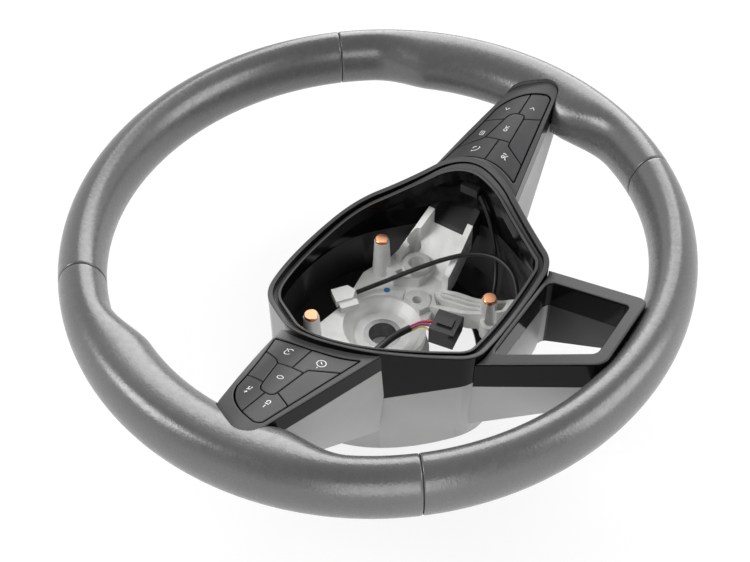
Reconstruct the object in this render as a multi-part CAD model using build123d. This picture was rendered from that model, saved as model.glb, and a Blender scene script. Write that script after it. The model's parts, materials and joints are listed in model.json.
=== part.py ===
from build123d import *
import os
from math import cos, degrees, radians, sin, sqrt, tan

# Car steering wheel with an open hub: leather rim on a steel ring, cast armature, gloss trim and keys
# +X is the driver's right, +Y is 12 o'clock and +Z points along the steering axis to the driver.
# All pieces are drawn from the rim's middle plane, and the finished wheel stands on the rear face of its hub.
# Sizes are in millimetres and angles in degrees. Angles round the rim start at 12 o'clock, clockwise.

# Rim
rim_radius = 169.0
rim_narrowing = 1.9
rim_flat_bottom = 2.7
grip_width = 26.4
grip_height = 37.4
leather_wall = 1.4
seam_upper = 46.6
seam_lower = 130.0
seam_gap = 0.3
thumb_reach = 11.0
thumb_start = 54.0
thumb_blend = 14.0
thumb_end = 118.0
ring_radius = 5.0
lug_radius = 7.5
lug_half_angle = 3.5
section_step = 14.0

# Hub opening and the lip round it
dish_depth = 102.0
hub_half_width = 77.8
hub_top = 56.3
hub_bottom = -81.5
hub_widest = -11.0
hub_shoulder = (30.0, 51.1)
hub_cheek = (50.5, 36.0)
hub_cheek_run = 34.1
hub_side = (76.2, -21.0)
hub_flank = (66.0, -42.0)
hub_corner_radius = 10.0
lip_side_height = 0.6
lip_middle_drop = 33.5
lip_slope = 0.246
lip_reach = 1.2
lip_share = 0.98
lip_wall = 2.0
lip_return = 10.0
lip_round = 0.6
bead_round = 0.8
lip_groove = 2.6
lip_groove_depth = 2.5
bead_width = 3.4
bead_rise = 1.5
trim_wall = 2.2
parting_height = -31.0
parting_slope = 0.27
joint_gap = 0.3

# Key groups on the side spokes
switch_place = (108.0, -15.0, 4.4)
switch_tilt = 11.5
roll_radius = 60.0
roll_start = -11.5
key_gap = 0.6
key_wall = 2.6
key_round = 0.4
key_travel = 1.0
roll_share = 0.97
roll_middle = 35.0
bezel_gap = 0.7
bezel_rise = 0.4
bezel_round = 0.8
bezel_skirt = 11.0
bezel_lap = 3.4
spoke_root = -44.0
spoke_root_low = -33.6
spoke_root_top = 36.6
spoke_low_corner = (4.5, -13.0)
spoke_top_corner = (-10.6, 15.5)
spoke_low_round = 9.0
spoke_top_round = 16.0
plunger_radius = 2.6
dome_flare = 1.2
mat_wall = 1.2
board_wall = 1.6
board_low = -21.8
dome_top = -17.6
tray_wall = 1.8
tray_top = -17.4
tray_margin = 0.2

# Side spokes, behind the key groups
spoke_back_hub = -64.0
spoke_back_slope = 0.6
cover_wall = 2.4

# Lower spoke
low_hub = (41.0, -91.4, -11.6)
low_rim_half = 26.2
low_rim_height = 16.6
low_lap = 1.6
low_corner_radius = 7.0
low_bar = 9.0
low_rim_bar = 7.5
low_hub_bar = 3.0
low_depth = 19.0
low_round = 1.2
low_back_height = -62.0
low_back_place = -95.0
low_back_slope = 0.75

# Rear cover
cover_foot_radius = 74.0
cover_mouth_radius = 60.0
cover_mouth_top = 28.0
cover_flare = 42.0

# Armature
boss_radius = 17.75
boss_top = -88.0
bush_radius = 12.0
bore_radius = 8.85
hub_plate_radius = 27.5
bowl_radius = 25.0
bowl_depth = 6.0
bowl_step = 1.8
rib_places = (33.5, 37.5)
rib_wall = 1.8
lobe_edge = [(0.0, 30.0), (30.0, 35.0), (46.0, 30.0), (46.0, 8.0), (20.0, 0.0), (0.0, 10.0)]
lobe_low = -86.0
saddle_edge = [
    (31.0, 12.0), (37.0, 24.0), (54.0, 23.0), (66.0, 16.0), (66.0, 0.0), (52.0, -6.0), (38.0, -3.0),
]
saddle_low = -80.0
saddle_height = 9.0
ring_boss_place = (47.5, 5.0)
ring_boss_radius = 9.0
ring_boss_hole = 5.5
ring_boss_top = -67.5
ring_boss_low = -78.0
pad_place = (27.0, -8.5)
pad_radius = 8.5
pad_hole = 3.2
pad_top = -76.0
pad_low = -84.0
pad_depth = 6.0
low_boss_place = (27.0, -61.0)
low_boss_radius = 6.2
low_boss_hole = 3.6
low_boss_top = -63.0
low_boss_low = -74.0
slot_place = (57.5, 13.5)
slot_turn = -25.0
slot_length = 10.0
slot_width = 6.5
square_place = (37.0, 11.0)
square_width = 5.0
hub_plate_wall = 7.0
post_place = (38.2, 25.9)
low_post_place = (32.5, -56.5)
post_top = -51.0
post_low = -86.0
low_post_low = -76.0
post_radius = 4.8
post_foot_radius = 6.6
pin_height = 2.2
pin_step = 0.4
pin_chamfer = 0.5
arm_wall = 5.0
arm_flange = 11.0
arm_flange_wall = 4.0
arm_room = 1.0
arm_neck = 24.9
arm_upper_edge = [(8.0, 24.0), (50.0, 19.0), (84.0, 11.0)]
arm_lower_edge = [(84.0, -19.0), (60.0, -20.0), (8.0, -20.0)]
arm_neck_edges = (-5.0, -25.0)
arm_end_edges = (-6.0, -22.0)
arm_rise = [(12.0, -86.0), (50.0, -78.0), (78.0, -56.0), (110.0, -36.0)]
arm_bend_lead = 4.0
arm_bend_height = -14.8
arm_end_height = -1.0
arm_flange_start = 45.0
arm_flange_end = 99.0
arm_lug = 94.5
leg_lug = 173.4
leg_wall = 3.8
leg_rise = [(-8.0, -86.0), (-44.0, -73.0), (-64.0, -62.0), (-96.0, -36.0)]
leg_bend_lead = 6.8
leg_bend_height = -6.0
leg_outer_edge = [(44.0, -8.0), (44.0, -28.0), (41.0, -48.0), (41.0, -66.0)]
leg_inner_edge = [(28.0, -62.0), (26.5, -48.0), (26.5, -18.0), (16.0, -12.0)]
leg_end_shift = 3.0
pocket_edge = [
    (41.0, -12.0), (41.0, -28.0), (38.0, -48.0), (38.0, -66.0), (31.0, -66.0), (29.5, -48.0), (29.5, -21.0),
]
pocket_floor = 7.0
rib_middle = -38.0
rib_length = 40.0
rib_turn = -6.0
leg_height = 12.0
leg_room = 0.5

# Leads in the hub
plug_offset = (-22.2, 3.0, -24.9)
plug_size = (13.4, 12.0, 6.0)
plug_room = 0.5
connector_place = (4.5, 32.0, -76.0)
connector_size = (15.0, 11.0, 5.6)
connector_turn = -36.0
lock_size = (12.0, 5.0, 4.0)
lock_gap = 0.2
harness_plug_place = (10.8, -39.4, -68.4)
harness_plug_size = (16.0, 17.0, 13.0)
harness_plug_turn = -80.0
latch_rise = 1.5
latch_length = 9.6
latch_width = 6.8
collar_height = 9.1
airbag_lead_width = 3.0
harness_width = 4.6
switch_lead_width = 2.6
wire_width = 1.3
wire_pitch = 0.7
wire_spread = 1.9
wire_lead = 8.0
wire_gap = 0.5
wire_slots = {"green": (-2, -1), "orange": (0, -1), "yellow": (2, -1), "red": (-1, 1), "violet": (1, 1)}
bend_share = 0.45

far = 400.0
hair = 0.01
up_least = 0.3
bead_start = lip_wall + lip_groove
ring_width = bead_start + bead_width


def mirrored(piece):
    """The same piece on the driver's left."""
    return mirror(piece, about=Plane.YZ)


def in_front(plane):
    """Everything on the side of a plane that its normal points to."""
    return plane * Box(2 * far, 2 * far, far, align=(Align.CENTER, Align.CENTER, Align.MIN))


def prism(outline):
    """A tall column with this outline, along the steering axis."""
    return extrude(Pos(0, 0, -far / 2) * outline, far)


def faces_up(piece, least):
    """The faces of a piece that look forward, to the driver."""
    return [face for face in piece.faces() if face.normal_at(face.center()).Z > least]


def outer_edges(faces):
    """The edges round some faces that no two of them share."""
    edges = [edge for face in faces for edge in face.edges()]
    places = [tuple(round(value, 3) for value in edge.center()) for edge in edges]
    return [edge for edge, place in zip(edges, places) if places.count(place) == 1]


# Rim


def centre_radius(w):
    """Radius of the grip's centre line at angle w."""
    return rim_radius - rim_narrowing * cos(radians(2 * w)) + rim_flat_bottom * cos(radians(w))


low_rim = (low_rim_half, grip_width / 2 - low_lap - centre_radius(180), low_rim_height)


def ramp(t):
    """Smooth step from 0 to 1."""
    t = min(1.0, max(0.0, t))
    return t * t * (3 - 2 * t)


def thumb_bulge(w):
    """How far the thumb rest beside a spoke reaches inwards at angle w."""
    rise = ramp((w - thumb_start) / thumb_blend)
    fall = ramp((thumb_end - w) / thumb_blend)
    return thumb_reach * rise * fall


def section_plane(w):
    """The plane across the rim at angle w."""
    outwards = Vector(sin(radians(w)), cos(radians(w)), 0)
    return Plane(outwards * centre_radius(w), x_dir=outwards, z_dir=outwards.cross(Vector(0, 0, 1)))


def grip_section(w, inset, bulge):
    """The grip's section at angle w, set in from the leather's outside."""
    reach = grip_width / 2 - inset
    tall = grip_height / 2 - inset
    outer = EllipticalCenterArc((0, 0), reach, tall, -90, arc_size=180)
    inner = EllipticalCenterArc((0, 0), reach + bulge, tall, 90, arc_size=180)
    return section_plane(w) * make_face([outer, inner])


def stretch(start, end):
    """The angles of the sections along a stretch of the rim."""
    count = max(2, round((end - start) / section_step))
    return [start + (end - start) * i / count for i in range(count + 1)]


def grip(start, end, inset, thumbs):
    """A stretch of the grip as one lofted solid."""
    return loft([grip_section(w, inset, thumb_bulge(w) if thumbs else 0.0) for w in stretch(start, end)])


def whole_grip(inset):
    """The grip all round, from its four stretches."""
    side = grip(seam_upper, seam_lower, inset, True)
    top = grip(-seam_upper, seam_upper, inset, False)
    bottom = grip(seam_lower, 360 - seam_lower, inset, False)
    return top + side + bottom + mirrored(side)


def rod(start, end, radius):
    """A round rod along the grip's centre line."""
    return loft([section_plane(w) * Circle(radius) for w in stretch(start, end)])


def rim_ring(grow=0.0):
    """The steel ring inside the rim."""
    radius = ring_radius + grow
    side = rod(seam_upper, seam_lower, radius)
    top = rod(-seam_upper, seam_upper, radius)
    bottom = rod(seam_lower, 360 - seam_lower, radius)
    return top + side + bottom + mirrored(side)


def lug(w):
    """The casting's lug round the ring at angle w."""
    return rod(w - lug_half_angle, w + lug_half_angle, lug_radius)


def leather_panel(start, end, thumbs):
    """One leather panel, open at its two cross seams."""
    trim = degrees(seam_gap / 2 / rim_radius)
    skin = grip(start + trim, end - trim, 0, thumbs)
    return skin - grip(start + trim, end - trim, leather_wall, thumbs)


# Hub outline and lip


def hub_outline(grow=0.0):
    """Outline of the airbag opening, seen along the steering axis, grown by a margin."""
    left_shoulder = (-hub_shoulder[0], hub_shoulder[1])
    crown = ThreePointArc(left_shoulder, (0, hub_top), hub_shoulder)
    shoulder = TangentArc(hub_shoulder, hub_cheek, tangent=crown % 1)
    run = PolarLine(hub_cheek, hub_cheek_run, direction=shoulder % 1)
    cheek = TangentArc(run @ 1, hub_side, tangent=run % 1)
    flank = TangentArc(hub_side, hub_flank, tangent=cheek % 1)
    low_run = PolarLine(hub_flank, (hub_bottom - hub_flank[1]) / (flank % 1).Y, direction=flank % 1)
    base = Line(low_run @ 1, mirrored(low_run) @ 1)
    half = [shoulder, run, cheek, flank, low_run]
    face = make_face([crown, base] + half + [mirrored(edge) for edge in half])
    low = face.vertices().filter_by(lambda v: abs(v.Y - hub_bottom) < hair)
    face = fillet(low, hub_corner_radius)
    return offset(face, grow) if grow else face


def front_of_lip(grow, rise):
    """Everything in front of the saddle-shaped sheet that the lip follows, grown by a margin."""
    half = hub_half_width + grow
    arc_radius = (half ** 2 + lip_middle_drop ** 2) / (2 * lip_middle_drop)
    middle = (hub_top + hub_bottom) / 2
    tall = hub_top - hub_bottom
    slope = lip_slope * tall / (tall + 2 * grow)
    ends = min(lip_reach * half, lip_share * arc_radius)
    edge = arc_radius - sqrt(arc_radius ** 2 - ends ** 2)
    low = lip_side_height + rise - lip_middle_drop - lip_slope * (middle - hub_widest)
    start = -far / 2
    valley = low - slope * (start - middle)
    curve = ThreePointArc((-ends, valley + edge), (0, valley), (ends, valley + edge))
    above = Polyline((ends, valley + edge), (ends, far), (-ends, far), (-ends, valley + edge))
    profile = Plane((0, start, 0), x_dir=(1, 0, 0), z_dir=(0, -1, 0)) * make_face([curve, above])
    travel = Vector(0, far, -slope * far)
    return extrude(profile, travel.length, dir=travel.normalized())


def behind_parting(gap=0.0):
    """Everything behind the joint between the front trim and the rear cover."""
    place = (0, hub_bottom, parting_height - gap)
    return in_front(Plane(place, z_dir=(0, -parting_slope, -1)))


def band(inner, outer):
    """A tall ring between two outlines of the hub."""
    return prism(hub_outline(outer)) - prism(hub_outline(inner))


def hub_ring():
    """The ring round the airbag opening: an inner lip, a groove, a bead and the outer wall."""
    groove = lip_wall + lip_groove / 2
    ring = band(0, ring_width) - behind_parting()
    ring -= front_of_lip(bead_start + bead_width / 2, bead_rise)
    ring -= prism(hub_outline(lip_wall)) & front_of_lip(lip_wall / 2, 0)
    ring -= band(lip_wall, bead_start) & front_of_lip(groove, -lip_groove_depth)
    ring -= band(lip_wall, ring_width - trim_wall) - front_of_lip(groove, -lip_groove_depth - trim_wall)
    ring -= prism(hub_outline(2 * lip_wall)) - front_of_lip(lip_wall / 2, -lip_return)
    lips = sorted(faces_up(ring, up_least), key=lambda face: face.area)[:-2]
    ring = fillet(outer_edges(lips), lip_round)
    bead = max(faces_up(ring, up_least), key=lambda face: face.area)
    return fillet(outer_edges([bead]), bead_round)


# Key groups: drawn flat in their own frame, x towards the rim, y to 12 o'clock and z out of the key faces


def switch_frame():
    """Place of the right key group."""
    tilt = radians(switch_tilt)
    return Plane(switch_place, x_dir=(cos(tilt), 0, sin(tilt)), z_dir=(-sin(tilt), 0, cos(tilt))).location


key_hub_upper = (-26.5, 29.0)
key_hub_middle = (-17.9, -0.4)
key_hub_lower = (-26.0, -25.1)
key_top_bend = (-11.5, 23.8)
key_top_end = (23.0, 16.0)
key_end_upper = (36.8, 5.6)
key_end_lower = (42.7, -8.0)
key_end_corner = (42.4, -11.6)
key_low_end = (39.0, -13.4)
centre_upper = (-1.0, 9.1)
centre_lower = (-0.3, -7.9)
centre_upper_end = (16.2, 5.4)
centre_tip = (22.8, -1.0)
centre_lower_end = (19.6, -6.2)
notch_upper = (-3.6, 11.4)
notch_lower = (-3.3, -8.6)
hub_split_start = (-30.0, -0.45)
hub_split_end = (-0.8, -0.5)
rim_split_end = (50.0, 0.3)
upper_hub_split_end = (-13.0, 26.5)
lower_hub_split_end = (-13.6, -24.6)
upper_rim_split_end = (12.0, 21.0)
lower_rim_split_end = (25.4, -19.0)


def key_group_outline():
    """Outline of all seven keys together."""
    hub_edge = ThreePointArc(key_hub_upper, key_hub_middle, key_hub_lower)
    low_edge = Line(key_hub_lower, key_low_end)
    corner = ThreePointArc(key_low_end, key_end_corner, key_end_lower)
    end = ThreePointArc(key_end_lower, key_end_upper, key_top_end)
    top_edge = ThreePointArc(key_top_end, key_top_bend, key_hub_upper)
    return make_face([hub_edge, low_edge, corner, end, top_edge])


def key_gaps():
    """The gaps between the keys."""
    upper = Line(centre_upper, centre_upper_end)
    lower = Line(centre_lower_end, centre_lower)
    tip = Spline(centre_upper_end, centre_tip, centre_lower_end, tangents=[upper % 1, lower % 0])
    centre = [upper, tip, lower, Line(centre_lower, centre_upper)]
    hub_split = Line(hub_split_start, hub_split_end)
    rim_split = Line(centre_tip, rim_split_end)
    upper_hub = Polyline(centre_upper, notch_upper, upper_hub_split_end)
    lower_hub = Polyline(centre_lower, notch_lower, lower_hub_split_end)
    upper_rim = Line(centre_upper_end, upper_rim_split_end)
    lower_rim = Line(centre_lower_end, lower_rim_split_end)
    lines = centre + [hub_split, rim_split, upper_hub, lower_hub, upper_rim, lower_rim]
    gaps = trace(lines[0], key_gap)
    for line in lines[1:]:
        gaps += trace(line, key_gap)
    return gaps


def below_roll(depth):
    """Everything below the rolled key face, lowered by a depth."""
    radius = roll_radius - depth
    reach = roll_share * radius
    drop = radius - sqrt(radius ** 2 - reach ** 2)
    mid = radius * sin(radians(roll_middle))
    mid_drop = radius * (1 - cos(radians(roll_middle)))
    flat = Line((-far / 2, -depth), (roll_start, -depth))
    start = (roll_start, -depth)
    end = (roll_start + reach, -depth - drop)
    arc = ThreePointArc(start, (roll_start + mid, -depth - mid_drop), end)
    rest = Polyline(end, (far / 2, end[1]), (far / 2, -far / 2), (-far / 2, -far / 2), (-far / 2, -depth))
    return extrude(Plane.YZ * make_face([flat, arc, rest]), far / 2, both=True)


def key_plate(outline):
    """A tall column with this outline, across the key face."""
    return extrude(Pos(0, 0, -far / 4) * outline, far / 2)


key_places = {
    "upper_hub": (-12, 12),
    "lower_hub": (-12, -12),
    "upper_side": (0, 15),
    "lower_side": (5, -13),
    "centre": (9, 0),
    "upper_rim": (25, 8.5),
    "lower_rim": (32, -8),
}


def spoke_outline(grow=0.0):
    """Outline of a side spoke in the key group's frame."""
    reach = (centre_radius(90) - grip_width / 2 + bezel_lap - switch_place[0]) / cos(radians(switch_tilt))
    low_corner = (reach + spoke_low_corner[0], spoke_low_corner[1])
    top_corner = (reach + spoke_top_corner[0], spoke_top_corner[1])
    root = [(spoke_root, spoke_root_top), (spoke_root, spoke_root_low)]
    face = make_face(Polyline(*root, low_corner, top_corner, close=True))
    for corner, radius in ((low_corner, spoke_low_round), (top_corner, spoke_top_round)):
        near = face.vertices().sort_by_distance(corner)[:1]
        face = fillet(near, radius)
    return offset(face, grow) if grow else face


def bezel():
    """The frame round the keys of the right spoke, with its skirt."""
    body = key_plate(spoke_outline()) & below_roll(-bezel_rise)
    body -= below_roll(bezel_skirt)
    body -= key_plate(spoke_outline(-trim_wall)) & below_roll(trim_wall)
    body -= key_plate(offset(key_group_outline(), bezel_gap))
    return fillet(outer_edges(faces_up(body, up_least)), bezel_round)


def plunger(x, y):
    """A key's plunger, which presses the silicone dome under it."""
    return Pos(x, y, dome_top + key_travel + joint_gap) * Cylinder(
        plunger_radius, -dome_top, align=(Align.CENTER, Align.CENTER, Align.MIN)
    )


def keys():
    """The seven keys of one group, in their own frame."""
    cells = (key_group_outline() - key_gaps()).faces()
    found = {}
    for name, (x, y) in key_places.items():
        cell = min(cells, key=lambda face: (face.center() - Vector(x, y, 0)).length)
        cap = key_plate(cell) & below_roll(0)
        cap -= below_roll(key_wall)
        stem = plunger(x, y) & below_roll(key_wall / 2)
        found[name] = fillet(outer_edges(faces_up(cap, up_least)), key_round) + stem
    return found


def flat_plate(grow, low, high):
    """A flat plate under the keys, with the key group's outline grown by a margin."""
    return extrude(Pos(0, 0, low) * offset(key_group_outline(), grow), high - low)


def below_keys():
    """Everything that a pressed key leaves free."""
    return below_roll(key_wall + key_travel + joint_gap)


def switch_tray():
    """The black tray that carries the board and the mat."""
    tray = flat_plate(tray_margin, board_low - tray_wall, tray_top) & below_keys()
    return tray - flat_plate(tray_margin - tray_wall, board_low, far / 4)


def tray_room():
    """The room that the arm leaves for the tray."""
    return switch_frame() * flat_plate(tray_margin + arm_room, board_low - tray_wall - arm_room, 0)


def switch_board():
    """The circuit board."""
    return flat_plate(tray_margin - tray_wall - joint_gap, board_low, board_low + board_wall) & below_keys()


def switch_mat():
    """The silicone mat, with a dome under each key."""
    low = board_low + board_wall
    mat = flat_plate(tray_margin - tray_wall - joint_gap, low, low + mat_wall) & below_keys()
    for x, y in key_places.values():
        dome = Cone(
            plunger_radius + dome_flare,
            plunger_radius,
            dome_top - low,
            align=(Align.CENTER, Align.CENTER, Align.MIN),
        )
        mat += Pos(x, y, low) * dome
    return mat


# Side spokes


def spoke_column(grow=0.0):
    """A tall column with the right spoke's outline, in place."""
    return switch_frame() * key_plate(spoke_outline(grow))


def behind_spoke(rise):
    """Everything behind the spoke's slanted back, raised by a wall."""
    place = (hub_half_width, 0, spoke_back_hub + rise)
    return in_front(Plane(place, z_dir=(spoke_back_slope, 0, -1)))


def spoke_cover():
    """The grey channel behind the right spoke."""
    body = switch_frame() * (key_plate(spoke_outline()) & below_roll(bezel_skirt + joint_gap))
    body -= behind_spoke(0)
    hollow = spoke_column(-cover_wall) - behind_spoke(cover_wall)
    body -= hollow
    body -= prism(hub_outline(ring_width + joint_gap))
    body &= Cylinder(centre_radius(90) - lug_radius - arm_room, far)
    return body - arm(arm_room)


def front_trim():
    """The gloss moulding: hub ring and both key bezels in one piece."""
    side = switch_frame() * bezel()
    side -= prism(hub_outline(ring_width - trim_wall / 2))
    trim = hub_ring() + side + mirrored(side)
    for way in (arm(arm_room), plug_body(plug_room)):
        trim -= way
        trim -= mirrored(way)
    return trim


# Lower spoke


def low_half_width(y):
    """Half the lower spoke's width at height y."""
    share = (y - low_hub[1]) / (low_rim[1] - low_hub[1])
    return low_hub[0] + share * (low_rim[0] - low_hub[0])


def low_outline(grow=0.0):
    """Outline of the lower spoke, seen along the steering axis."""
    top = hub_bottom
    end = low_rim[1]
    half = low_half_width(top)
    tip = low_half_width(end)
    face = make_face(Polyline((-half, top), (half, top), (tip, end), (-tip, end), close=True))
    face = fillet(face.vertices().filter_by(lambda v: abs(v.Y - end) < hair), low_corner_radius)
    return offset(face, grow) if grow else face


def low_window(grow=0.0):
    """The open window in the lower spoke."""
    top = hub_bottom - ring_width - joint_gap - low_hub_bar
    end = low_rim[1] + low_rim_bar
    half = low_half_width(top) - low_bar
    tip = low_half_width(end) - low_bar
    face = make_face(Polyline((-half, top), (half, top), (tip, end), (-tip, end), close=True))
    face = fillet(face.vertices(), low_corner_radius / 2)
    return offset(face, grow) if grow else face


def before_low(drop):
    """Everything in front of the lower spoke's slanted face, lowered by a depth."""
    slope = (low_rim[2] - low_hub[2]) / (low_hub[1] - low_rim[1])
    return in_front(Plane((0, low_hub[1], low_hub[2] - drop), z_dir=(0, slope, 1)))


def behind_low(rise):
    """Everything behind the lower spoke's back, raised by a wall."""
    return in_front(Plane((0, low_back_place, low_back_height + rise), z_dir=(0, -low_back_slope, -1)))


def low_bars(wall=0.0):
    """The lower spoke's bars as tall columns, set in by a wall."""
    return prism(low_outline(-wall)) - prism(low_window(wall))


def lower_spoke_trim():
    """The gloss frame of the lower spoke, hollow behind."""
    body = low_bars() - before_low(0)
    body -= low_bars(trim_wall) - before_low(trim_wall)
    body &= before_low(low_depth)
    body -= prism(hub_outline(ring_width + joint_gap))
    body = fillet(outer_edges(faces_up(body, up_least)), low_round)
    way = leg(leg_room)
    return body - way - mirrored(way)


# Rear cover


def cover_bowl(wall):
    """The rear cover's outside, or its inside where a wall is given."""
    flare = far / 4
    foot = cover_foot_radius - wall
    reach = foot + flare * tan(radians(cover_flare))
    cone = Pos(0, 0, -dish_depth) * Cone(foot, reach, flare, align=(Align.CENTER, Align.CENTER, Align.MIN))
    return cone & prism(hub_outline(ring_width - wall))


def rear_cover():
    """The grey bowl behind the hub, with the two legs behind the lower spoke."""
    legs = low_bars() - before_low(low_depth + joint_gap) - behind_low(0)
    legs -= low_bars(cover_wall) - behind_low(cover_wall)
    hollow = cover_bowl(cover_wall) - Pos(0, 0, -dish_depth) * Box(far, far, 2 * cover_wall)
    body = cover_bowl(0) + legs - hollow
    body -= in_front(Plane((0, hub_bottom, parting_height), z_dir=(0, parting_slope, 1))) & prism(
        hub_outline(ring_width + joint_gap)
    )
    mouth = Cylinder(cover_mouth_radius, 4 * cover_wall)
    mouth -= Pos(0, cover_mouth_top + far / 2, 0) * Box(far, far, far)
    body -= Pos(0, 0, -dish_depth) * mouth
    for way in (arm(arm_room), leg(leg_room)):
        body -= way
        body -= mirrored(way)
    return body


# Armature


def arm_plan(grow=0.0):
    """The right arm's outline, seen along the steering axis."""
    end = centre_radius(90) + ring_radius / 2
    neck = centre_radius(90) - arm_neck
    upper = [(neck, arm_neck_edges[0]), (end, arm_end_edges[0])]
    lower = [(end, arm_end_edges[1]), (neck, arm_neck_edges[1])]
    face = make_face(Polyline(*arm_upper_edge, *upper, *lower, *arm_lower_edge, close=True))
    return offset(face, grow) if grow else face


arm_bend = (centre_radius(90) - arm_neck + arm_bend_lead, arm_bend_height)
arm_route = arm_rise + [arm_bend, (centre_radius(90), arm_end_height)]
leg_end = -centre_radius(180) - ring_radius / 2
leg_route = leg_rise + [(low_rim[1] + leg_bend_lead, leg_bend_height), (leg_end, 0)]


def arm_band(height, rise):
    """A band along the arm's side view, wide enough to be cut by its plan."""
    route = Polyline(*[(x, z + rise) for x, z in arm_route])
    return extrude(Plane.XZ * trace(route, height), far / 2, both=True)


def arm(grow=0.0):
    """The right arm: a plate with two flanges, as an open channel."""
    if grow:
        room = arm_band(arm_wall + arm_flange + 2 * grow, arm_flange / 2)
        return room & prism(arm_plan(grow))
    plate = arm_band(arm_wall, 0) & prism(arm_plan())
    flange = arm_band(arm_wall + arm_flange, arm_flange / 2)
    flange &= prism(arm_plan()) - prism(arm_plan(-arm_flange_wall))
    length = arm_flange_end - arm_flange_start
    flange &= Pos(arm_flange_start + length / 2, 0, 0) * Box(length, far, far)
    return plate + flange


def leg_plan(grow=0.0):
    """The right leg's outline, seen along the steering axis."""
    blade = leg_wall / 2
    stations = [low_hub[1], low_rim[1]]
    middle = [low_half_width(y) - low_bar / 2 for y in stations]
    at_hub = [(middle[0] + blade, stations[0]), (middle[0] - blade, stations[0])]
    at_rim = [(middle[1] + blade, stations[1]), (middle[1] - blade, stations[1])]
    tip = middle[1] - leg_end_shift
    end = [(tip + blade, leg_end), (tip - blade, leg_end)]
    corners = leg_outer_edge + [at_hub[0], at_rim[0]] + end + [at_rim[1], at_hub[1]] + leg_inner_edge
    face = make_face(Polyline(*corners, close=True))
    return offset(face, grow) if grow else face


def leg_band(height, rise=0.0):
    """A band along the leg's side view, wide enough to be cut by its plan."""
    route = Polyline(*[(y, z + rise) for y, z in leg_route])
    return extrude(Plane.YZ * trace(route, height), far / 2, both=True)


def leg(grow=0.0):
    """The right leg, which runs on in the lower spoke to the rim, with a ribbed pocket at the hub."""
    body = leg_band(leg_height + 2 * grow) & prism(leg_plan(grow))
    if grow:
        return body
    pocket = make_face(Polyline(*pocket_edge, close=True))
    for x in rib_places:
        pocket -= Pos(x, rib_middle) * Rot(0, 0, rib_turn) * Rectangle(rib_wall, rib_length)
    return body - (leg_band(leg_height, pocket_floor) & prism(pocket))


def post(place, foot):
    """A tapered post for an airbag pin."""
    return Pos(*place, foot) * Cone(
        post_foot_radius, post_radius, post_top - foot, align=(Align.CENTER, Align.CENTER, Align.MIN)
    )


def boss(place, radius, top, low):
    """A round boss on the casting."""
    return Pos(*place, low) * Cylinder(radius, top - low, align=(Align.CENTER, Align.CENTER, Align.MIN))


def slab(outline, low, height):
    """A flat slab of the casting with this outline."""
    return extrude(Pos(0, 0, low) * make_face(Polyline(*outline, close=True)), height)


def turned(profile):
    """A solid turned about the steering axis from a profile of radius and height."""
    return revolve(Plane.XZ * make_face(Polyline(*profile, close=True)), Axis.Z)


def hub_plate():
    """The round hub plate with its boss."""
    rear = -dish_depth
    rim = boss_top + bowl_depth
    boss_side = [(0, rear), (boss_radius, rear), (boss_radius, boss_top - hub_plate_wall)]
    return turned(boss_side + [(hub_plate_radius, rim - hub_plate_wall), (hub_plate_radius, rim), (0, rim)])


def hub_bowl():
    """The dished hollow over the boss."""
    rim = boss_top + bowl_depth
    above = rim + 2 * bowl_depth
    floor = [(0, boss_top), (boss_radius, boss_top), (boss_radius + bowl_step, boss_top + bowl_step)]
    wall = [(bowl_radius - bowl_step, rim - bowl_step), (bowl_radius, rim), (bowl_radius, above)]
    return turned(floor + wall + [(0, above)])


def armature():
    """The casting: hub plate and boss, arms, legs, posts and the ring inside the rim."""
    half = arm() - tray_room() + leg() + post(post_place, post_low) + post(low_post_place, low_post_low)
    half += lug(arm_lug) + lug(leg_lug)
    half += slab(lobe_edge, lobe_low, hub_plate_wall)
    half += slab(saddle_edge, saddle_low, saddle_height)
    half += boss(ring_boss_place, ring_boss_radius, ring_boss_top, ring_boss_low)
    half += boss(pad_place, pad_radius, pad_top, pad_low)
    half += boss(low_boss_place, low_boss_radius, low_boss_top, low_boss_low)
    half -= boss(ring_boss_place, ring_boss_hole, far, -far)
    half -= boss(pad_place, pad_hole, far, pad_top - pad_depth)
    half -= boss(low_boss_place, low_boss_hole, far, low_boss_top - pad_depth)
    half -= prism(Pos(*slot_place) * Rot(0, 0, slot_turn) * SlotOverall(slot_length, slot_width))
    half -= prism(Pos(*square_place) * Rot(0, 0, slot_turn) * Rectangle(square_width, square_width))
    body = hub_plate() + half + mirrored(half) - hub_bowl()
    body -= rim_ring(joint_gap)
    return body - boss((0, 0), bush_radius, far, -far)


def column_bush():
    """The steel bush in the boss."""
    lift = (Align.CENTER, Align.CENTER, Align.MIN)
    tube = Cylinder(bush_radius, boss_top - -dish_depth, align=lift)
    tube -= Cylinder(bore_radius, far, align=lift)
    return Pos(0, 0, -dish_depth) * tube


def airbag_pins():
    """The four copper pins on the posts."""
    lift = (Align.CENTER, Align.CENTER, Align.MIN)
    pin = Cylinder(post_radius - pin_step, pin_height, align=lift)
    pin = chamfer(pin.edges().sort_by(Axis.Z)[-1:], pin_chamfer)
    pins = []
    for x, y in (post_place, low_post_place):
        pins += [Pos(x, y, post_top) * pin, Pos(-x, y, post_top) * pin]
    return Compound(pins)


# Leads in the hub

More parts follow.
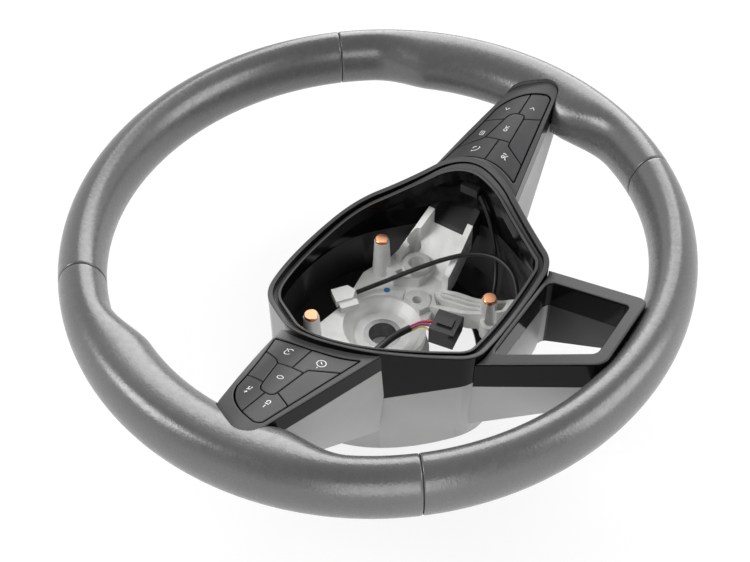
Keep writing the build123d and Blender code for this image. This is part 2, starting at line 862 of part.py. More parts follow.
airbag_route = [
    (10.8, 27.2, -75.9), (17.6, 22.4, -74.8), (27.2, 13.2, -70.5), (38.6, 0.6, -63.0), (50.6, -13.4, -56.0),
    (59.8, -27.0, -51.0), (63.6, -41.0, -48.0), (60.0, -54.4, -47.5), (52.0, -64.8, -50.0),
    (42.2, -71.0, -54.5),
]
harness_route = [
    (-77.5, -12.0, -21.2), (-70.4, -11.9, -25.6), (-63.0, -11.6, -33.8), (-57.6, -11.3, -44.4),
    (-51.0, -11.0, -56.0), (-40.5, -11.0, -66.0), (-29.0, -11.3, -71.6), (-17.8, -11.8, -73.4),
    (-7.2, -14.0, -73.0), (1.8, -19.4, -71.6),
]
switch_route = [
    (80.4, -19.2, -21.7), (79.8, -22.0, -24.9), (78.8, -25.6, -29.6), (76.6, -30.4, -37.4),
    (73.2, -35.6, -46.6),
    (67.6, -41.2, -56.4), (59.6, -46.4, -64.8), (50.0, -50.0, -70.4), (41.9, -52.0, -73.2),
]


def plug_body(grow=0.0):
    """The plug on the right key group's tray, which looks through the hub ring's wall."""
    length, width, height = [size + 2 * grow for size in plug_size]
    return Pos(*switch_place) * Pos(*plug_offset) * Box(length, width, height)


def cord(points, diameter):
    """A cord along straight runs, joined by arcs as large as the runs allow."""
    places = [Vector(*point) for point in points]
    runs = [end - start for start, end in zip(places, places[1:])]
    radii = []
    for first, second in zip(runs, runs[1:]):
        half_turn = radians(first.get_angle(second)) / 2
        radii.append(bend_share * min(first.length, second.length) / tan(half_turn))
    path = FilletPolyline(*places, radius=radii)
    print(f"cord of {diameter} mm: length {path.length:.1f} mm, bend radii {[round(r, 1) for r in radii]}")
    return sweep(Plane(path @ 0, z_dir=path % 0) * Circle(diameter / 2), path)


def connector_frame():
    """Place of the white connector on the armature's upper lobe."""
    return Pos(*connector_place) * Rot(0, 0, connector_turn)


def airbag_connector():
    """The white connector: a housing with a pointed nose."""
    length, width, height = connector_size
    back = -length / 2
    shoulder = length / 4
    half = width / 2
    corners = [(back, -half), (shoulder, -half), (length / 2, 0), (shoulder, half), (back, half)]
    outline = make_face(Polyline(*corners, close=True))
    return connector_frame() * extrude(Pos(0, 0, -height / 2) * outline, height)


def connector_lock():
    """The connector's separate lock, beside the housing."""
    length, width, height = lock_size
    beside = -connector_size[1] / 2 - width / 2 - lock_gap
    low = (height - connector_size[2]) / 2
    return connector_frame() * Pos(0, beside, low) * Box(length, width, height)


def harness_plug():
    """The black multi-way plug with its raised latch and its collar."""
    length, width, height = harness_plug_size
    body = Box(length, width, height)
    body += Pos(0, 0, height / 2) * Box(latch_length, latch_width, 2 * latch_rise)
    body += Pos(length / 2 - latch_rise, 0, 0) * Box(2 * latch_rise, width + 2 * latch_rise, collar_height)
    return Pos(*harness_plug_place) * Rot(0, 0, harness_plug_turn) * body


def harness_wires():
    """The coloured wires from the harness sleeve to the multi-way plug."""
    up = Vector(0, 0, 1)
    sleeve_end = Vector(*harness_route[-1])
    out = (sleeve_end - Vector(*harness_route[-2])).normalized()
    turn = radians(harness_plug_turn)
    into = Vector(cos(turn), sin(turn), 0)
    entry = Vector(*harness_plug_place) - into * (harness_plug_size[0] / 2 + wire_gap)
    wires = {}
    for colour, (side, row) in wire_slots.items():
        across = out.cross(up).normalized()
        start = sleeve_end + across * (side * wire_pitch) + across.cross(out) * (row * wire_pitch)
        end = entry + into.cross(up) * (side * wire_spread) + up * (row * wire_spread)
        route = [start, start + out * wire_lead, end]
        wires["harness_wire_" + colour] = cord([tuple(place) for place in route], wire_width)
    return wires


def leads():
    """The cords in the hub with their plugs."""
    plug = plug_body()
    pieces = {
        "airbag_connector": airbag_connector(),
        "airbag_connector_lock": connector_lock(),
        "airbag_lead": cord(airbag_route, airbag_lead_width),
        "harness_sleeve": cord(harness_route, harness_width),
        "harness_plug": harness_plug(),
        "right_switch_lead": cord(switch_route, switch_lead_width),
        "right_switch_plug": plug,
        "left_switch_plug": mirrored(plug),
    }
    pieces.update(harness_wires())
    return pieces


def rim_pieces(frame):
    """The four leather panels and the foam round the armature, with room for the spokes' ends."""
    side_slot = spoke_column(joint_gap)
    low_slot = prism(low_outline(joint_gap))
    right = leather_panel(seam_upper, seam_lower, True) - side_slot
    bottom = leather_panel(seam_lower, 360 - seam_lower, False) - low_slot
    for way in (leg(leg_room), mirrored(leg(leg_room))):
        bottom -= way
    ring = rim_ring()
    foam = whole_grip(leather_wall) - side_slot - mirrored(side_slot) - low_slot - frame - ring
    return {
        "rim_ring": ring,
        "leather_top": leather_panel(-seam_upper, seam_upper, False),
        "leather_right": right,
        "leather_left": mirrored(right),
        "leather_bottom": bottom,
        "rim_foam": foam,
    }


def switch_pieces():
    """Keys, mat, board and tray of both groups, in place."""
    right = {"switch_tray": switch_tray(), "switch_board": switch_board(), "switch_mat": switch_mat()}
    right.update({"key_" + name: key for name, key in keys().items()})
    placed = {}
    for name, piece in right.items():
        piece = switch_frame() * piece
        placed["right_" + name] = piece
        placed["left_" + name] = mirrored(piece)
    return placed


def steering_wheel():
    """Every piece by name."""
    frame = armature()
    cover = spoke_cover()
    pieces = {
        "armature": frame,
        "column_bush": column_bush(),
        "airbag_pins": airbag_pins(),
        "front_trim": front_trim(),
        "lower_spoke_trim": lower_spoke_trim(),
        "rear_cover": rear_cover(),
        "right_spoke_cover": cover,
        "left_spoke_cover": mirrored(cover),
    }
    pieces.update(rim_pieces(frame))
    pieces.update(switch_pieces())
    pieces.update(leads())
    return pieces


os.makedirs("parts", exist_ok=True)
for name, piece in steering_wheel().items():
    export_step(Pos(0, 0, dish_depth) * piece, "parts/" + name + ".step")
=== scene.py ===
import bmesh
import bpy
import json
from math import cos, degrees, pi, radians, sin, sqrt, tan
from mathutils import Matrix, Vector


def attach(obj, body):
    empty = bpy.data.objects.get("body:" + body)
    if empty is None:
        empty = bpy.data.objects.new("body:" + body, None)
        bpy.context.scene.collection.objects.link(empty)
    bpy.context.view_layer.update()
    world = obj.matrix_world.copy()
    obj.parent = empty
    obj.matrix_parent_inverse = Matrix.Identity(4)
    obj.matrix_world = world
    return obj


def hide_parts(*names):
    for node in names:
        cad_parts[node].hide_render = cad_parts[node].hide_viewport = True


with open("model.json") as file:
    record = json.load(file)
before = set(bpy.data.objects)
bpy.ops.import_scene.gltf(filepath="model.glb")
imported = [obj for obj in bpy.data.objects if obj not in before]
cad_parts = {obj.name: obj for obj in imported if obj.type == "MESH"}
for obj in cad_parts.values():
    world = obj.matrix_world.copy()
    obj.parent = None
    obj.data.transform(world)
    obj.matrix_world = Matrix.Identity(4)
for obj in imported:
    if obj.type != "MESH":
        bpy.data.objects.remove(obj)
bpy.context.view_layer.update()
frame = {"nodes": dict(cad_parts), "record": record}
nodes = frame["nodes"]
mm = 0.001

# The rim in millimetres, with its angles in degrees clockwise from 12 o'clock. Heights count from its middle
# plane, which lies at the dish depth over the floor
dish_depth = 102.0
rim_radius = 169.0
rim_narrowing = 1.9
rim_flat_bottom = 2.7
grip_width = 26.4
grip_height = 37.4
thumb_reach = 11.0
thumb_start = 54.0
thumb_blend = 14.0
thumb_end = 118.0
spoke_angle = 90.0

# The leather panels. At a seam the edge is tucked in, by a depth at each way from it
leather_wall = 1.4
seam_upper = 46.6
seam_lower = 130.0
seam_gap = 0.3
seam_tuck = [(0.0, 0.7), (0.2, 0.36), (0.5, 0.14), (1.0, 0.03), (1.8, 0.0)]
section_sides = 96
panel_step = 1.0

# The right key group: its middle, its tilt and the roll of its face. The left one mirrors it
switch_place = Vector((108.0, -15.0, 4.4))
switch_tilt = radians(11.5)
roll_radius = 60.0
roll_start = -11.5

# The side spoke's rim end, which goes through the leather
bezel_lap = 3.4
spoke_corners = [(-98.2, -33.6), (4.5, -13.0), (-10.6, 15.5), (-98.2, 36.6)]
spoke_rounds = (9.0, 16.0)
spoke_gap = 0.3
round_steps = 8

# The casting's black arm ends and its dot of paint
skin_start = 74.5
paint_place = (25.6, 13.6, -79.0)
paint_radius = 2.1

# The rear cover's painted shade inside the bowl: faces that look up, and walls that look in at the hub, are
# darkened
weld = 1e-7
floor_slope = 0.5
inward_lean = 0.05

# The leads, with their routes from the plug or the place where they come out
lead_rounding = 5
lead_steps = 8
lead_order = 3
airbag_route = [
    (42.2, -71.0, -54.5), (52.0, -64.8, -50.0), (60.0, -54.4, -47.5), (63.6, -41.0, -48.0),
    (59.8, -27.0, -51.0), (50.6, -13.4, -56.0), (38.6, 0.6, -63.0), (27.2, 13.2, -70.5),
    (17.6, 22.4, -74.8), (10.8, 27.2, -75.9),
]
harness_route = [
    (-77.5, -12.0, -21.2), (-70.4, -11.9, -25.6), (-63.0, -11.6, -33.8), (-57.6, -11.3, -44.4),
    (-51.0, -11.0, -56.0), (-40.5, -11.0, -66.0), (-29.0, -11.3, -71.6), (-17.8, -11.8, -73.4),
    (-7.2, -14.0, -73.0), (1.8, -19.4, -71.6),
]
switch_route = [
    (80.4, -19.2, -21.7), (79.8, -22.0, -24.9), (78.8, -25.6, -29.6), (76.6, -30.4, -37.4),
    (73.2, -35.6, -46.6), (67.6, -41.2, -56.4), (59.6, -46.4, -64.8), (50.0, -50.0, -70.4),
    (41.9, -52.0, -73.2),
]

# The stage in metres, apart from the floor's drop and its shaded patch
floor_size = 6.0
floor_drop = 0.1
floor_glow = 0.8
shade_radius = 30.0
room_light = 0.6
ceiling_span = (0.1, 0.9)
ceiling_level = 0.5
dark_side = (-0.52, -0.35, 0.78)
dark_span = (0.3, 0.85)
dark_level = 0.1
lamp_target = Vector((0, 0, 0.08))
camera_place = (-0.3895, -0.2603, 0.5827)
camera_right = Vector((0.55844, -0.82953, -0.00556))
camera_up = Vector((0.61791, 0.41148, 0.66998))
camera_lens = 55.75
camera_sensor = 36.0

# Most of a noise texture lies between these values
noise_ends = (0.3, 0.7)


def place(x, y, z):
    """A point of the wheel, from the rim's middle plane, in metres in the frame."""
    return Vector((x, y, z + dish_depth)) * mm


# Finishes


class Nodes:
    """A node tree, with short ways to add to it."""

    def __init__(self, tree):
        self.tree = tree

    def add(self, kind):
        """A new node."""
        return self.tree.nodes.new("ShaderNode" + kind)

    def link(self, source, socket):
        """Joins an output to an input."""
        self.tree.links.new(source, socket)

    def spread(self, source, low, high, to_low, to_high):
        """A value from one range, spread over another."""
        node = self.add("MapRange")
        for name, value in (("From Min", low), ("From Max", high), ("To Min", to_low), ("To Max", to_high)):
            node.inputs[name].default_value = value
        self.link(source, node.inputs["Value"])
        return node.outputs["Result"]

    def compare(self, operation, source, limit=0):
        """A value worked on with a number."""
        node = self.add("Math")
        node.operation = operation
        node.inputs[1].default_value = limit
        self.link(source, node.inputs[0])
        return node.outputs["Value"]

    def join(self, operation, first, second):
        """Two values worked into one."""
        node = self.add("Math")
        node.operation = operation
        self.link(first, node.inputs[0])
        self.link(second, node.inputs[1])
        return node.outputs["Value"]

    def measure(self, operation, source, other):
        """A vector measured against a fixed one."""
        node = self.add("VectorMath")
        node.operation = operation
        node.inputs[1].default_value = other
        self.link(source, node.inputs[0])
        return node.outputs["Value"]

    def along(self, source, axis):
        """The part of a vector along an axis."""
        node = self.add("SeparateXYZ")
        self.link(source, node.inputs["Vector"])
        return node.outputs[axis]

    def straight_rays(self):
        """1 for rays that see the surroundings as they look: from the eye, off gloss or through glass."""
        rays = self.add("LightPath").outputs
        seen = self.join("MAXIMUM", rays["Is Camera Ray"], rays["Is Glossy Ray"])
        return self.join("MAXIMUM", seen, rays["Is Transmission Ray"])


class Finish(Nodes):
    """A material with its shader, and short ways to vary it over a surface."""

    def __init__(self, name, **sockets):
        self.material = bpy.data.materials.new(name)
        self.material.use_nodes = True
        super().__init__(self.material.node_tree)
        self.shader = self.tree.nodes["Principled BSDF"]
        for socket, value in sockets.items():
            self.shader.inputs[socket.replace("_", " ")].default_value = value
        self.surface = self.add("TexCoord").outputs

    def texture(self, kind, scale, **settings):
        """A texture of the surface, at a scale in features per metre."""
        node = self.add("Tex" + kind)
        node.inputs["Scale"].default_value = scale
        for name, value in settings.items():
            if name in node.inputs:
                node.inputs[name].default_value = value
            else:
                setattr(node, name, value)
        self.link(self.surface["Object"], node.inputs["Vector"])
        return node.outputs[0]

    def facing(self, axis, turned, square):
        """1 where the surface faces along an axis, and 0 where it turns away."""
        return self.spread(self.along(self.surface["Normal"], axis), turned, square, 0, 1)

    def across(self, axis):
        """How far the surface lies from the wheel's middle along an axis."""
        return self.compare("ABSOLUTE", self.along(self.surface["Object"], axis))

    def distance(self, centre):
        """How far the surface lies from a point."""
        return self.measure("DISTANCE", self.surface["Object"], centre)

    def colours(self, source, dark, light):
        """The base colour, between two shades."""
        ramp = self.add("ValToRGB")
        for stop, position, shade in zip(ramp.color_ramp.elements, noise_ends, (dark, light)):
            stop.position = position
            stop.color = (*shade, 1)
        self.link(source, ramp.inputs["Fac"])
        self.link(ramp.outputs["Color"], self.shader.inputs["Base Color"])

    def overlay(self, share, colour):
        """Another colour over the base colour, where the share is 1."""
        mix = self.add("Mix")
        mix.data_type = "RGBA"
        base = self.shader.inputs["Base Color"]
        self.link(base.links[0].from_socket, mix.inputs["A"])
        mix.inputs["B"].default_value = (*colour, 1)
        self.link(share, mix.inputs["Factor"])
        self.link(mix.outputs["Result"], base)

    def vary(self, socket, source, start, end, ends=noise_ends):
        """A value of the shader that goes from start to end with a texture."""
        self.link(self.spread(source, *ends, start, end), self.shader.inputs[socket])

    def relief(self, source, depth, strength):
        """Fine relief of a depth in metres, over what is there already."""
        bump = self.add("Bump")
        bump.inputs["Distance"].default_value = depth
        bump.inputs["Strength"].default_value = strength
        normal = self.shader.inputs["Normal"]
        if normal.is_linked:
            self.link(normal.links[0].from_socket, bump.inputs["Normal"])
        self.link(source, bump.inputs["Height"])
        self.link(bump.outputs["Normal"], normal)


def grained_leather():
    """Dark grey leather with a fine pebble grain and a soft sheen."""
    finish = Finish("grained_leather", Specular_IOR_Level=0.9)
    grain = finish.texture("Voronoi", scale=840, feature="SMOOTH_F1", Smoothness=0.4)
    creases = finish.texture("Noise", scale=260, Detail=3.0)
    patches = finish.texture("Noise", scale=14, Detail=2.0)
    finish.colours(patches, dark=(0.076, 0.076, 0.078), light=(0.092, 0.092, 0.094))
    finish.vary("Roughness", creases, start=0.22, end=0.33)
    finish.relief(creases, depth=0.00006, strength=0.3)
    finish.relief(grain, depth=0.0001, strength=0.45)
    return finish


def gloss_black():
    """Black moulding, satin where it faces the driver and glossy on its walls, with painted light: its colour
    is lighter on faces that look up and near black on the walls.
    """
    finish = Finish("gloss_black", Specular_IOR_Level=0.11)
    top_satin_and_painted_light = finish.facing("Z", turned=0.55, square=0.85)
    # Painted light: the base colour is lighter where the surface faces up, as if lit from above; the
    # roughness change is the real satin and gloss.
    finish.colours(top_satin_and_painted_light, dark=(0.003, 0.003, 0.003), light=(0.07, 0.07, 0.071))
    finish.vary("Roughness", top_satin_and_painted_light, start=0.09, end=0.3, ends=(0, 1))
    haze = finish.texture("Noise", scale=2600, Detail=2.0)
    finish.relief(haze, depth=0.00002, strength=0.3)
    return finish


def moulded(name, dark, light, roughness, gloss=0.5):
    """Moulded plastic with an eroded grain."""
    finish = Finish(name, Specular_IOR_Level=gloss)
    patches = finish.texture("Noise", scale=30, Detail=3.0)
    pits = finish.texture("Noise", scale=2200, Detail=2.0)
    finish.colours(patches, dark, light)
    finish.vary("Roughness", pits, start=roughness - 0.06, end=roughness + 0.08)
    finish.relief(pits, depth=0.00006, strength=0.6)
    return finish


def cover_moulding():
    """Grey moulding of the rear cover, with painted shade that makes it black on its inner side."""
    finish = moulded("rear_moulding", (0.28, 0.28, 0.278), (0.31, 0.31, 0.307), roughness=0.42)
    inner = finish.add("Attribute")
    inner.attribute_name = "painted_shade_inside"
    # Painted shade: faces inside the bowl are darkened to near black.
    finish.overlay(inner.outputs["Fac"], (0.02, 0.02, 0.02))
    return finish


def cast_alloy():
    """Die-cast light alloy with flow marks, a pitted skin, black arm ends and a dot of paint."""
    finish = Finish("cast_alloy")
    flow = finish.texture("Noise", scale=45, Detail=5.0, Distortion=1.2)
    pits = finish.texture("Noise", scale=900, Detail=3.0)
    finish.colours(flow, dark=(0.68, 0.68, 0.67), light=(0.88, 0.88, 0.86))
    skin = finish.compare("GREATER_THAN", finish.across("X"), skin_start * mm)
    finish.overlay(skin, (0.012, 0.012, 0.012))
    paint = finish.compare("LESS_THAN", finish.distance(place(*paint_place)), paint_radius * mm)
    finish.overlay(paint, (0.03, 0.22, 0.55))
    finish.vary("Metallic", skin, start=0.25, end=0, ends=(0, 1))
    finish.vary("Roughness", pits, start=0.42, end=0.58)
    finish.relief(flow, depth=0.0005, strength=0.4)
    finish.relief(pits, depth=0.00012, strength=0.5)
    return finish


def worn_metal(name, dark, light, roughness):
    """Plain metal with tarnish."""
    finish = Finish(name, Metallic=1.0)
    tarnish = finish.texture("Noise", scale=220, Detail=4.0)
    finish.colours(tarnish, dark, light)
    finish.vary("Roughness", tarnish, start=roughness - 0.06, end=roughness + 0.12)
    return finish


def rubber(name, colour, roughness=0.45):
    """Cable sheath, silicone or paint, slightly streaked."""
    finish = Finish(name)
    streaks = finish.texture("Noise", scale=160, Detail=2.0)
    finish.colours(streaks, dark=[0.8 * level for level in colour], light=[1.15 * level for level in colour])
    finish.vary("Roughness", streaks, start=roughness - 0.08, end=roughness + 0.1)
    return finish


legend_paint = rubber("legend_paint", (0.82, 0.82, 0.8), roughness=0.5)
finishes = {
    "alloy": cast_alloy(),
    "steel": worn_metal("turned_steel", (0.2, 0.2, 0.2), (0.36, 0.36, 0.37), roughness=0.35),
    "copper": worn_metal("copper_cap", (0.62, 0.27, 0.14), (0.82, 0.42, 0.26), roughness=0.32),
    "gloss_trim": gloss_black(),
    "grey_cover": moulded("grey_moulding", (0.3, 0.3, 0.298), (0.33, 0.33, 0.327), roughness=0.42),
    "leather": grained_leather(),
    "foam": moulded("rim_foam", (0.08, 0.08, 0.08), (0.11, 0.11, 0.11), roughness=0.8),
    "key_cap": moulded("key_plastic", (0.028, 0.028, 0.03), (0.038, 0.038, 0.04), roughness=0.38, gloss=0.3),
    "black_plastic": moulded("black_moulding", (0.018, 0.018, 0.018), (0.028, 0.028, 0.028), roughness=0.45),
    "white_plastic": moulded("white_moulding", (0.74, 0.74, 0.72), (0.84, 0.84, 0.82), roughness=0.4),
    "board": moulded("board_lacquer", (0.02, 0.11, 0.04), (0.04, 0.18, 0.07), roughness=0.3),
    "mat": rubber("silicone_mat", (0.2, 0.2, 0.21), roughness=0.6),
    "cable": rubber("cable_sheath", (0.018, 0.018, 0.018), roughness=0.38),
    "wire_green": rubber("green_wire", (0.08, 0.4, 0.13)),
    "wire_orange": rubber("orange_wire", (0.8, 0.22, 0.03)),
    "wire_yellow": rubber("yellow_wire", (0.82, 0.62, 0.05)),
    "wire_red": rubber("red_wire", (0.62, 0.04, 0.03)),
    "wire_violet": rubber("violet_wire", (0.3, 0.1, 0.45)),
}


def finish_nodes():
    """Gives every node its finish."""
    for part in frame["record"]["subparts"]:
        mesh = nodes[part["node"]].data
        mesh.materials.clear()
        mesh.materials.append(finishes[part["material_slot"]].material)


# Making pieces


def piece(name, data, finish, body, stands_for=()):
    """A finished piece that rides on a body and may stand for nodes."""
    made = bpy.data.objects.new(name, data)
    bpy.context.scene.collection.objects.link(made)
    data.materials.clear()
    data.materials.append(finish.material)
    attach(made, body)
    if stands_for:
        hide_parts(*stands_for)
    return made


def shell(name, bm):
    """A bmesh as a smooth mesh, with its faces turned outwards."""
    bmesh.ops.recalc_face_normals(bm, faces=bm.faces)
    mesh = bpy.data.meshes.new(name)
    bm.to_mesh(mesh)
    bm.free()
    mesh.shade_smooth()
    return mesh


# Rim leather


def centre_radius(w):
    """Radius of the grip's centre line at angle w, clockwise from 12 o'clock."""
    return rim_radius - rim_narrowing * cos(radians(2 * w)) + rim_flat_bottom * cos(radians(w))


def ramp(t):
    """Smooth step from 0 to 1."""
    t = min(1.0, max(0.0, t))
    return t * t * (3 - 2 * t)


def thumb_bulge(w):
    """How far the thumb rest beside a spoke reaches inwards at angle w."""
    w = min(w, 360 - w)
    return thumb_reach * ramp((w - thumb_start) / thumb_blend) * ramp((thumb_end - w) / thumb_blend)


def grip_point(w, turn, inset):
    """A point of the grip's outside at angle w round the rim and a turn round the section."""
    across = grip_width / 2 - inset
    if cos(turn) < 0:
        across += thumb_bulge(w)
    radius = centre_radius(w) + across * cos(turn)
    height = (grip_height / 2 - inset) * sin(turn)
    return place(radius * sin(radians(w)), radius * cos(radians(w)), height)


def spoke_outline():
    """Outline of the right spoke's rim end in the key group's frame, from the hub side and back."""
    lap = centre_radius(spoke_angle) - grip_width / 2 + bezel_lap
    reach = (lap - switch_place.x) / cos(switch_tilt)
    corners = [Vector((reach + x, y)) for x, y in spoke_corners]
    turns = [(end - start).normalized() for start, end in zip(corners, corners[1:])]
    points = [corners[0]]
    for i, radius in enumerate(spoke_rounds):
        bend = turns[i].angle_signed(turns[i + 1])
        start = corners[i + 1] - turns[i] * radius * abs(tan(bend / 2))
        middle = start + Vector((-turns[i].y, turns[i].x)) * radius
        arm = start - middle
        steps = [bend * k / round_steps for k in range(round_steps + 1)]
        points += [middle + Matrix.Rotation(-step, 2) @ arm for step in steps]
    return points + [corners[-1]]


def cut_slot(bm, side):
    """Cuts the leather away where a side spoke goes through it, with a gap all round."""
    points = spoke_outline()
    walls = []
    for start, end in zip(points, points[1:]):
        out = Vector((end.y - start.y, start.x - end.x)).normalized() * spoke_gap
        at = key_point(side, *(start + out), 0, rolled=False)
        along = key_point(side, *(end + out), 0, rolled=False) - at
        depth = key_point(side, *(start + out), 1, rolled=False) - at
        walls.append((at, side * along.cross(depth).normalized()))
    for at, normal in walls:
        everything = bm.verts[:] + bm.edges[:] + bm.faces[:]
        bmesh.ops.bisect_plane(bm, geom=everything, plane_co=at, plane_no=normal)
    inside = [
        face for face in bm.faces
        if all((face.calc_center_median() - at).dot(normal) < 0 for at, normal in walls)
    ]
    bmesh.ops.delete(bm, geom=inside, context="FACES")


def leather_panel(name, start, end, spoke=0):
    """A leather panel: one section drawn on round the rim, tucked in at its seams and cut out for a spoke."""
    per_mm = degrees(1 / rim_radius)
    first = start + seam_gap / 2 * per_mm
    last = end - seam_gap / 2 * per_mm
    tuck_end = seam_tuck[-1][0] * per_mm
    count = round((last - first) / panel_step)
    span = last - first - 2 * tuck_end
    stations = [(first + way * per_mm, inset) for way, inset in seam_tuck]
    stations += [(first + tuck_end + span * i / count, 0.0) for i in range(1, count)]
    stations += [(last - way * per_mm, inset) for way, inset in reversed(seam_tuck)]
    bm = bmesh.new()
    section = bmesh.ops.create_circle(bm, segments=section_sides, radius=1.0)["verts"]
    turns = [2 * pi * i / section_sides for i in range(section_sides)]
    edges = bm.edges[:]
    for i, (w, inset) in enumerate(stations):
        if i:
            made = bmesh.ops.extrude_edge_only(bm, edges=edges)["geom"]
            fresh = {item for item in made if isinstance(item, bmesh.types.BMVert)}
            edges = [item for item in made if isinstance(item, bmesh.types.BMEdge)]
            beside = [[edge.other_vert(vertex) for edge in vertex.link_edges] for vertex in section]
            section = [next(vertex for vertex in found if vertex in fresh) for found in beside]
        for vertex, turn in zip(section, turns):
            vertex.co = grip_point(w, turn, inset)
    if spoke:
        cut_slot(bm, spoke)
    panel = piece(name, shell(name, bm), finishes["leather"], "wheel", [name])
    wall = panel.modifiers.new("wall", "SOLIDIFY")
    wall.thickness = leather_wall * mm
    wall.offset = -1


# Rear cover


def cover_with_painted_shade():
    """The rear cover, grey outside, with painted shade that makes it black on the side that faces the hub."""
    mesh = nodes["rear_cover"].data.copy()
    bm = bmesh.new()
    bm.from_mesh(mesh)
    bm.transform(nodes["rear_cover"].matrix_world)
    bmesh.ops.remove_doubles(bm, verts=bm.verts, dist=weld)
    # Painted shade: faces that look up or in at the hub are marked to be darkened.
    inner = bm.faces.layers.float.new("painted_shade_inside")
    for face in bm.faces:
        centre = face.calc_center_median()
        outwards = face.normal.x * centre.x + face.normal.y * centre.y
        face[inner] = 1.0 if face.normal.z > floor_slope or outwards < -inward_lean * mm else 0.0
    bm.to_mesh(mesh)
    bm.free()
    piece("rear_cover_shell", mesh, cover_moulding(), "wheel", ["rear_cover"])


# Key legends


def key_point(side, x, y, z, rolled=True):
    """A point over a key face of the right (1) or left (-1) group, x towards the rim and y to 12 o'clock."""
    if rolled and y > roll_start:
        z -= roll_radius - sqrt(roll_radius ** 2 - (y - roll_start) ** 2)
    out = switch_place.x + x * cos(switch_tilt) - z * sin(switch_tilt)
    up = switch_place.z + x * sin(switch_tilt) + z * cos(switch_tilt)
    return place(side * out, switch_place.y + y, up)


def arc(x, y, radius, start, end, tall=1.0, count=10):
    """Points along an arc, angles in degrees."""
    turns = [radians(start + (end - start) * i / count) for i in range(count + 1)]
    return [(x + radius * cos(t), y + radius * tall * sin(t)) for t in turns]


# Each legend's lines in millimetres, as the driver reads them, and its place on the key group
dash = [(-2.6, 0), (-0.6, 0)]
post = [(0.6, -1.2), (0.6, 1.2)]
box = [(-1.6, -1.3), (1.6, -1.3), (1.6, 1.3), (-1.6, 1.3), (-1.6, -1.3)]
handset = [(-1.9, 1.7), (-1.2, -0.2), (0.2, -1.6), (2.0, -2.0)]
legends = {
    "left_key_upper_hub": [
        arc(0, 0, 2.4, -50, 230, count=16), [(0, 0), (1.1, 1.2)], [(1.9, 2.2), (2.8, 2.9)],
    ],
    "left_key_lower_hub": [
        arc(0, 0, 2.5, 0, 360, count=20), [(-0.4, -0.6), (0.9, 0.9)], [(-4.4, 0.1), (-3.4, 0.1)],
    ],
    "left_key_centre": [arc(0, 0, 1.2, 0, 360, tall=1.5, count=16)],
    "left_key_upper_rim": [dash, [(-1.6, -1), (-1.6, 1)], post, arc(2.2, 0, 1.0, 40, 320)],
    "left_key_lower_rim": [dash, post, arc(2.2, 0, 1.0, -140, 140)],
    "right_key_upper_hub": [
        handset, [(-2.3, 1.9), (-1.3, 2.1)], [(1.6, -2.4), (2.5, -1.4)], arc(0.4, 0.4, 1.7, 0, 90),
    ],
    "right_key_lower_hub": [
        arc(0, 1.3, 0.9, 0, 360), arc(0, -2.2, 1.9, 20, 160), arc(0.9, 1.2, 1.6, -45, 45),
    ],
    "right_key_upper_side": [box, [(-0.6, 0), (0.6, 0)]],
    "right_key_centre": [
        arc(-1.2, 0, 0.9, 0, 360, tall=1.3), [(0.7, -1.2), (0.7, 1.2)],
        [(2.2, 1.2), (0.8, 0.1), (2.3, -1.2)],
    ],
    "right_key_upper_rim": [[(0.9, 1.5), (-0.9, 0), (0.9, -1.5)]],
    "right_key_lower_rim": [[(-0.9, 1.5), (0.9, 0), (-0.9, -1.5)]],
}
legend_places = {
    "upper_hub": (-12, 10),
    "lower_hub": (-12, -11),
    "upper_side": (2, 13.5),
    "centre": (9, 0),
    "upper_rim": (25, 8.5),
    "lower_rim": (30, -7),
}
legend_line = 0.24
legend_lift = 0.01
legend_rise = 0.06
legend_rounding = 1


def key_legend(node, lines):
    """The printed legend of a key, laid on its rolled face."""
    side = 1 if node.startswith("right") else -1
    x, y = legend_places[node.split("_key_")[1]]
    curve = bpy.data.curves.new(node + "_legend", "CURVE")
    curve.dimensions = "3D"
    curve.bevel_depth = legend_line
    curve.bevel_resolution = legend_rounding
    curve.use_fill_caps = True
    for points in lines:
        line = curve.splines.new("POLY")
        line.points.add(len(points) - 1)
        for point, (u, v) in zip(line.points, points):
            point.co = (u, v, 0, 1)
    drawn = bpy.data.objects.new("legend_drawing", curve)
    mesh = bpy.data.meshes.new_from_object(drawn)
    bpy.data.objects.remove(drawn)
    for vertex in mesh.vertices:
        u, v, rise = vertex.co
        vertex.co = key_point(side, x + side * u, y + v, legend_lift + legend_rise * rise / legend_line)
    bm = bmesh.new()
    bm.from_mesh(mesh)
    bpy.data.meshes.remove(mesh)
    piece(node + "_legend", shell(node + "_legend", bm), legend_paint, node)


# Leads


def lead(name, route, width):
    """A lead along its route as one smooth line, with the nodes that are on it."""
    curve = bpy.data.curves.new(name, "CURVE")
    curve.dimensions = "3D"
    curve.bevel_depth = width / 2 * mm
    curve.bevel_resolution = lead_rounding
    curve.resolution_u = lead_steps
    curve.use_fill_caps = True
    line = curve.splines.new("NURBS")
    line.points.add(len(route) - 1)
    for point, at in zip(line.points, route):
        point.co = (*place(*at), 1)
    line.order_u = lead_order
    line.use_endpoint_u = True
    piece(name + "_cord", curve, finishes["cable"], "wheel", [name])


# Stage


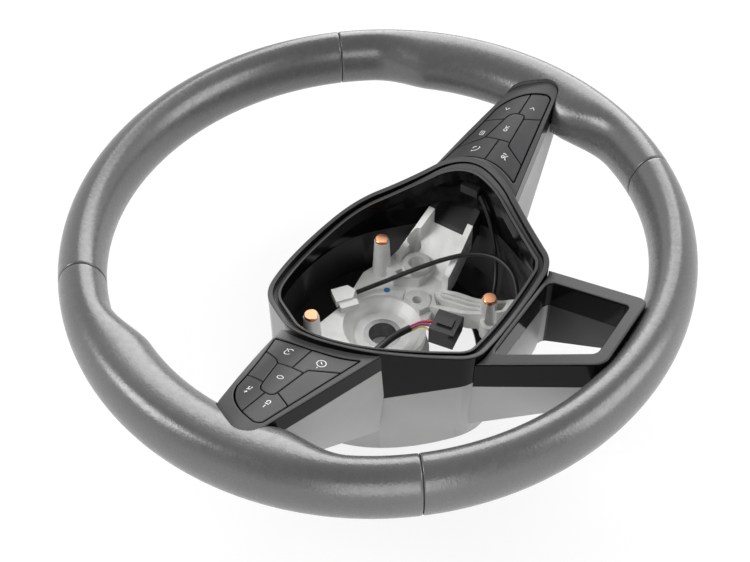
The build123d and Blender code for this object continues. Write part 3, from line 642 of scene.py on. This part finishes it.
def floor():
    """White paper floor that looks evenly lit, apart from a shaded patch under the hub."""
    bm = bmesh.new()
    drop = Matrix.Translation((0, 0, -floor_drop * mm))
    bmesh.ops.create_grid(bm, x_segments=1, y_segments=1, size=floor_size, matrix=drop)
    mesh = bpy.data.meshes.new("floor")
    bm.to_mesh(mesh)
    bm.free()
    ground = bpy.data.objects.new("floor", mesh)
    bpy.context.scene.collection.objects.link(ground)
    paper = Finish("paper_floor", Base_Color=(0.9, 0.9, 0.9, 1), Roughness=0.9)
    glow = paper.add("Emission")
    glow.inputs["Strength"].default_value = 1.0
    outside = paper.compare("GREATER_THAN", paper.distance((0, 0, 0)), shade_radius * mm)
    share = paper.join("MULTIPLY", paper.straight_rays(), paper.spread(outside, 0, 1, 0, floor_glow))
    mix = paper.add("MixShader")
    paper.link(share, mix.inputs["Fac"])
    paper.link(paper.shader.outputs[0], mix.inputs[1])
    paper.link(glow.outputs[0], mix.inputs[2])
    paper.link(mix.outputs[0], paper.tree.nodes["Material Output"].inputs["Surface"])
    mesh.materials.append(paper.material)


def room():
    """A white room with a dim ceiling and one dark side, fainter as a source of light than it looks."""
    world = bpy.data.worlds.new("white_room")
    bpy.context.scene.world = world
    world.use_nodes = True
    sky = Nodes(world.node_tree)
    view = sky.add("TexCoord").outputs["Generated"]
    walls = sky.spread(sky.along(view, "Z"), *ceiling_span, 1, ceiling_level)
    dusk = sky.spread(sky.measure("DOT_PRODUCT", view, dark_side), *dark_span, 1, dark_level)
    level = sky.add("Mix")
    level.inputs["A"].default_value = room_light
    sky.link(sky.join("MULTIPLY", walls, dusk), level.inputs["B"])
    sky.link(sky.straight_rays(), level.inputs["Factor"])
    background = sky.tree.nodes["Background"]
    background.inputs["Color"].default_value = (1, 1, 1, 1)
    sky.link(level.outputs["Result"], background.inputs["Strength"])


def lamp(name, spot, size, power):
    """A square soft lamp that looks at the wheel."""
    light = bpy.data.lights.new(name, "AREA")
    light.size = size
    light.energy = power
    made = bpy.data.objects.new(name, light)
    bpy.context.scene.collection.objects.link(made)
    made.location = spot
    made.rotation_euler = (lamp_target - Vector(spot)).to_track_quat("-Z", "Y").to_euler()


def camera():
    """The camera, at the photograph's place and angle."""
    eye = bpy.data.cameras.new("photo_camera")
    eye.sensor_width = camera_sensor
    eye.lens = camera_lens
    made = bpy.data.objects.new("photo_camera", eye)
    bpy.context.scene.collection.objects.link(made)
    axes = Matrix((camera_right, camera_up, camera_right.cross(camera_up)))
    made.matrix_world = Matrix.Translation(camera_place) @ axes.transposed().to_4x4()
    bpy.context.scene.camera = made
    bpy.context.scene.view_settings.view_transform = "Standard"


finish_nodes()
lead("airbag_lead", airbag_route, width=3.0)
lead("harness_sleeve", harness_route, width=4.6)
lead("right_switch_lead", switch_route, width=2.6)
leather_panel("leather_top", -seam_upper, seam_upper)
leather_panel("leather_right", seam_upper, seam_lower, spoke=1)
leather_panel("leather_bottom", seam_lower, 360 - seam_lower)
leather_panel("leather_left", 360 - seam_lower, 360 - seam_upper, spoke=-1)
cover_with_painted_shade()
for node, lines in legends.items():
    key_legend(node, lines)
floor()
room()
lamp("back_lamp", (0.9, 0.35, 0.62), size=0.9, power=11.0)
lamp("left_lamp", (-0.8, 0.8, 0.9), size=0.6, power=9.0)
lamp("front_lamp", (-0.95, -0.75, 0.3), size=0.7, power=5.0)
lamp("right_lamp", (0.35, -1.0, 0.55), size=0.7, power=6.0)
camera()
